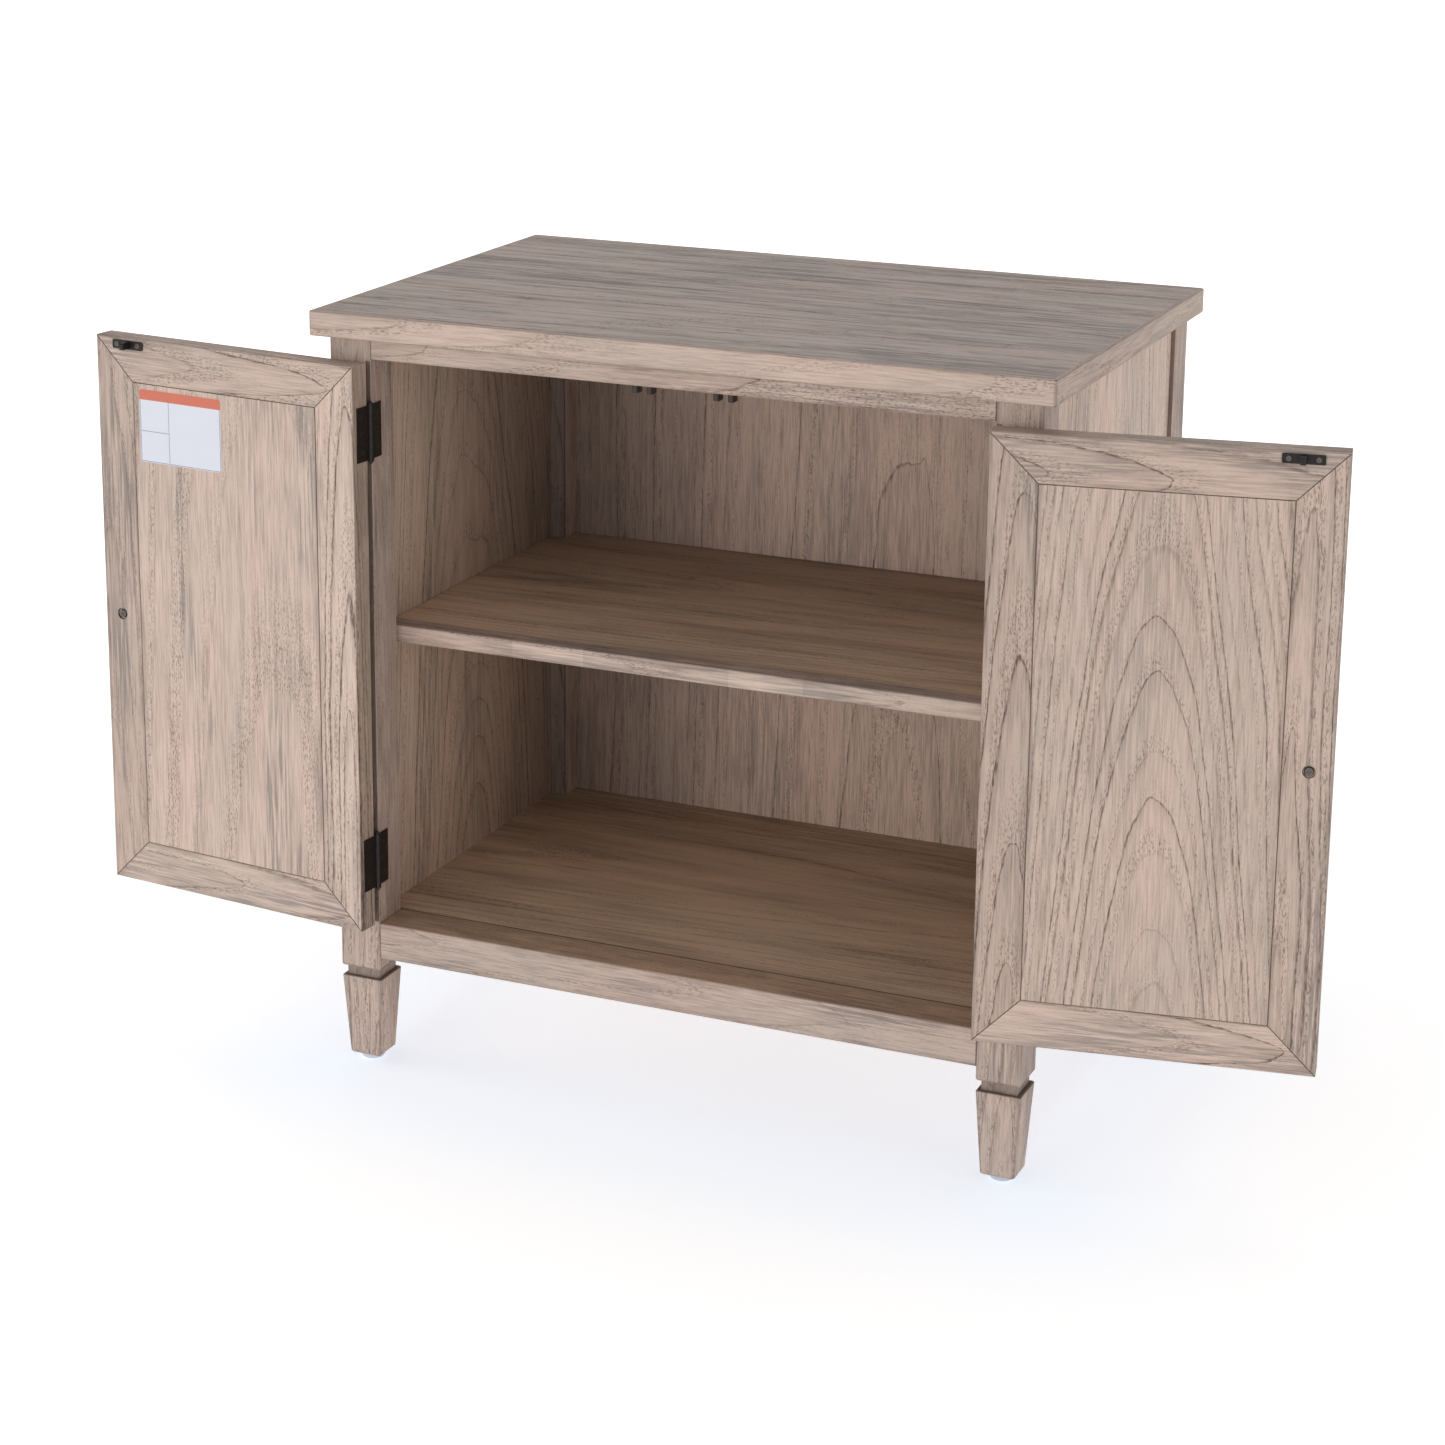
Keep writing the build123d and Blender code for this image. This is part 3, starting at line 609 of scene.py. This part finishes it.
# ---------------------------------------------------------------- blank sticker on the left door's panel
PIN_OUT = 0.0043            # hinge pin in front of the closed doors' outer faces
DOOR_GAP = 0.0024
DOOR_T = 0.024
DOOR_W = 0.3167
STICKER = (0.102, 0.075)
STICKER_IN = 0.053          # from the door's meeting edge
STICKER_DOWN = 0.051        # from the door's top
STICKER_CORNER = 0.0025
CORNER_STEPS = 5
BAND_H = 0.0105
PAPER_T = 0.00018
PAPER_GAP = 0.00002         # between the panel and the paper
RULE = 0.0006               # width of a ruled line
RULE_SPLIT = 0.36           # the ruled line across the paper, as a share of its width
PAPER, BAND, INK = 0, 1, 2  # material slots


def left_door_frame():
    """Turns a spot on the stored left door into a place; its axes are along, up and out of the inner face."""
    pin = Vector(next(j["pos_m"] for j in frame["joints"] if j["name"] == "left_door_swing"))
    lean = math.radians(-LEFT_LEAN)
    right = Vector((math.cos(lean), math.sin(lean), 0))
    out = Vector((math.sin(lean), -math.cos(lean), 0))
    width = DOOR_W + DOOR_GAP / 2
    corner = Vector((pin.x, pin.y, 0)) - right * width + out * (DOOR_T + PIN_OUT)
    turn = Matrix((right, Vector((0, 0, 1)), out)).transposed().to_4x4()
    return Matrix.Translation(corner) @ turn


def rectangle(x0, y0, x1, y1, rounded=()):
    """Outline points, anticlockwise from the lower left; only the named corners are rounded."""
    points = []
    corners = (("lower_left", x0, y0, 180), ("lower_right", x1, y0, 270), ("upper_right", x1, y1, 0),
               ("upper_left", x0, y1, 90))
    for name, x, y, start in corners:
        if name not in rounded:
            points.append((x, y))
            continue
        centre_x = x + STICKER_CORNER if x == x0 else x - STICKER_CORNER
        centre_y = y + STICKER_CORNER if y == y0 else y - STICKER_CORNER
        for i in range(CORNER_STEPS + 1):
            a = math.radians(start + 90 * i / CORNER_STEPS)
            points.append((centre_x + STICKER_CORNER * math.cos(a), centre_y + STICKER_CORNER * math.sin(a)))
    return points


def sticker_pieces():
    """Each piece of the sticker as (material slot, height above the panel, thickness, outline)."""
    width, height = STICKER
    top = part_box("left_door_rail_top")[1].z - STICKER_DOWN
    left, right, foot, band = STICKER_IN, STICKER_IN + width, top - height, top - BAND_H
    across, up = left + RULE_SPLIT * width, (foot + band) / 2
    rules = (
        (across - RULE / 2, foot + RULE, across + RULE / 2, band),
        (left + RULE, up - RULE / 2, across - RULE / 2, up + RULE / 2),
        (left + RULE, foot + RULE, left + 2 * RULE, band),
        (right - 2 * RULE, foot + RULE, right - RULE, band),
        (left + 2 * RULE, foot + RULE, right - 2 * RULE, foot + 2 * RULE),
    )
    paper = rectangle(left, foot, right, band, ("lower_left", "lower_right"))
    banner = rectangle(left, band, right, top, ("upper_right", "upper_left"))
    pieces = [(PAPER, PAPER_GAP, PAPER_T, paper), (BAND, PAPER_GAP, PAPER_T, banner)]
    for rule in rules:
        pieces.append((INK, PAPER_GAP + PAPER_T, PAPER_T / 4, rectangle(*rule)))
    return pieces


def sticker():
    """A thin paper label with a coloured band along its top and thin ruled lines, nothing printed on it."""
    place = left_door_frame()
    shape = bmesh.new()
    for slot, lift, thick, outline in sticker_pieces():
        face = shape.faces.new([shape.verts.new(place @ Vector((x, y, lift))) for x, y in outline])
        face.material_index = slot
        lifted = bmesh.ops.extrude_face_region(shape, geom=[face])["geom"]
        out = place.to_3x3() @ Vector((0, 0, thick))
        bmesh.ops.translate(shape, vec=out, verts=[v for v in lifted if isinstance(v, bmesh.types.BMVert)])
        for item in lifted:
            if isinstance(item, bmesh.types.BMFace):
                item.material_index = slot
    bmesh.ops.recalc_face_normals(shape, faces=shape.faces)
    mesh = bpy.data.meshes.new("door_sticker")
    shape.to_mesh(mesh)
    shape.free()
    flat = dict(scale=400, bump_mm=0.02)
    mesh.materials.append(plain("label_paper", (0.74, 0.76, 0.83), 0.45, specks=0.03, **flat))
    mesh.materials.append(plain("label_band", (0.66, 0.17, 0.105), 0.42, specks=0.05, **flat))
    mesh.materials.append(plain("label_rule", (0.23, 0.27, 0.42), 0.45, specks=0.05, **flat))
    made = bpy.data.objects.new("door_sticker", mesh)
    bpy.context.scene.collection.objects.link(made)
    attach(made, "left_door")


sticker()


# ---------------------------------------------------------------- floor, light and camera
WHITE = (1, 1, 1, 1)
FLOOR_COLOUR = (0.86, 0.86, 0.87, 1)
FLOOR_GLOW = (0.54, 0.54, 0.54, 1)
# The floor's glow under the cabinet, dimmer and cooler: a painted shadow.
PAINTED_SHADOW_GLOW = (0.435, 0.49, 0.56, 1)
FLOOR_REACH = 40.0
CABINET_HALF = (0.36, 0.22)     # half the floor that the cabinet covers, along X and Y
PAINTED_SHADOW_REACH = 0.28                # how far beside the cabinet the floor is still dimmer, in its painted shadow
WHITE_FROM, WHITE_TO = 0.25, 1.6    # beside the cabinet, where the camera sees the floor turn white
DOME = 0.92
DOME_TOP = 0.35                 # the dome straight overhead, against its rim

CAMERA_AT = (1.2061, -2.9611, 1.3889)
CAMERA_YAW = 23.904
CAMERA_PITCH = -14.192
CAMERA_ROLL = 0.342
FOCAL_MM = 81.06
SENSOR_MM = 36.0
SHIFT = (0.0401, -0.1505)

# Each soft light: place, what it points at, size, watts.
SOFTBOXES = {
    "key": ((-1.6, -3.6, 1.0), (0, 0, 0.45), (2.6, 1.6), 17),
    "left": ((-3.2, -0.8, 1.4), (-0.2, 0, 0.5), (1.6, 1.6), 14),
    "right": ((3.4, -1.2, 1.3), (0.2, 0, 0.5), (1.6, 1.6), 6),
    "overhead": ((0, 0.3, 3.2), (0, 0.1, 0.8), (2.4, 1.6), 14),
}


def camera():
    data = bpy.data.cameras.new("camera")
    data.lens = FOCAL_MM
    data.sensor_width = SENSOR_MM
    data.shift_x, data.shift_y = SHIFT
    yaw, pitch, roll = (math.radians(a) for a in (CAMERA_YAW, CAMERA_PITCH, CAMERA_ROLL))
    level = Vector((math.cos(yaw), math.sin(yaw), 0))
    forward = Vector((-math.sin(yaw) * math.cos(pitch), math.cos(yaw) * math.cos(pitch), math.sin(pitch)))
    up = level.cross(forward)
    right = level * math.cos(roll) + up * math.sin(roll)
    top = up * math.cos(roll) - level * math.sin(roll)
    made = bpy.data.objects.new("camera", data)
    turn = Matrix((right, top, -forward)).transposed().to_4x4()
    made.matrix_world = Matrix.Translation(CAMERA_AT) @ turn
    bpy.context.scene.collection.objects.link(made)
    bpy.context.scene.camera = made


def floor():
    """A glowing white studio floor; under and close round the cabinet it is a little darker and cooler, a
    painted shadow.
    """
    material, g = new_material("floor")
    x, y, _ = g.split(g.node("ShaderNodeTexCoord").outputs["Object"])
    beside = []
    for value, half in zip((x, y), CABINET_HALF):
        past = g.math("SUBTRACT", g.math("ABSOLUTE", value), half)
        beside.append(g.math("MAXIMUM", past, 0.0))
    away = g.hypotenuse(*beside)
    # Painted shadow: the floor glows dimmer and cooler under and close round the cabinet.
    glow = g.mix(g.remap(away, 0.0, PAINTED_SHADOW_REACH), PAINTED_SHADOW_GLOW, FLOOR_GLOW)
    camera_ray = g.node("ShaderNodeLightPath").outputs["Is Camera Ray"]
    white = g.math("MULTIPLY", g.remap(away, WHITE_FROM, WHITE_TO), camera_ray)
    shader = g.node("ShaderNodeBsdfPrincipled")
    shader.inputs["Base Color"].default_value = FLOOR_COLOUR
    shader.inputs["Roughness"].default_value = 0.9
    shader.inputs["Emission Strength"].default_value = 1.0
    g.put(shader.inputs["Emission Color"], g.mix(white, glow, WHITE))
    g.surface(shader)

    mesh = bpy.data.meshes.new("floor")
    corners = [(x * FLOOR_REACH, y * FLOOR_REACH, 0) for x, y in ((-1, -1), (1, -1), (1, 1), (-1, 1))]
    mesh.from_pydata(corners, [], [(0, 1, 2, 3)])
    mesh.materials.append(material)
    made = bpy.data.objects.new("floor", mesh)
    bpy.context.scene.collection.objects.link(made)


def world():
    """A white studio dome, dimmer overhead, that the camera sees as plain white."""
    made = bpy.data.worlds.new("studio")
    bpy.context.scene.world = made
    made.use_nodes = True
    made.node_tree.nodes.clear()
    g = Graph(made.node_tree)
    height = g.split(g.node("ShaderNodeTexCoord").outputs["Generated"])[2]
    light = g.node("ShaderNodeBackground")
    g.put(light.inputs["Strength"], g.math("MULTIPLY", g.remap(height, 0.15, 0.95, 1.0, DOME_TOP), DOME))
    white = g.node("ShaderNodeBackground")
    white.inputs["Strength"].default_value = 1.0
    white.inputs["Color"].default_value = WHITE
    both = g.node("ShaderNodeMixShader")
    g.put(both.inputs[0], g.node("ShaderNodeLightPath").outputs["Is Camera Ray"])
    g.put(both.inputs[1], light.outputs[0])
    g.put(both.inputs[2], white.outputs[0])
    g.put(g.node("ShaderNodeOutputWorld").inputs[0], both.outputs[0])


def softbox(name, place, target, size, watts):
    data = bpy.data.lights.new(name, "AREA")
    data.shape = "RECTANGLE"
    data.size, data.size_y = size
    data.energy = watts
    made = bpy.data.objects.new(name, data)
    made.location = place
    made.rotation_euler = (Vector(target) - Vector(place)).to_track_quat("-Z", "Y").to_euler()
    bpy.context.scene.collection.objects.link(made)


camera()
floor()
world()
for name, settings in SOFTBOXES.items():
    softbox(name, *settings)
bpy.context.scene.view_settings.view_transform = "Standard"
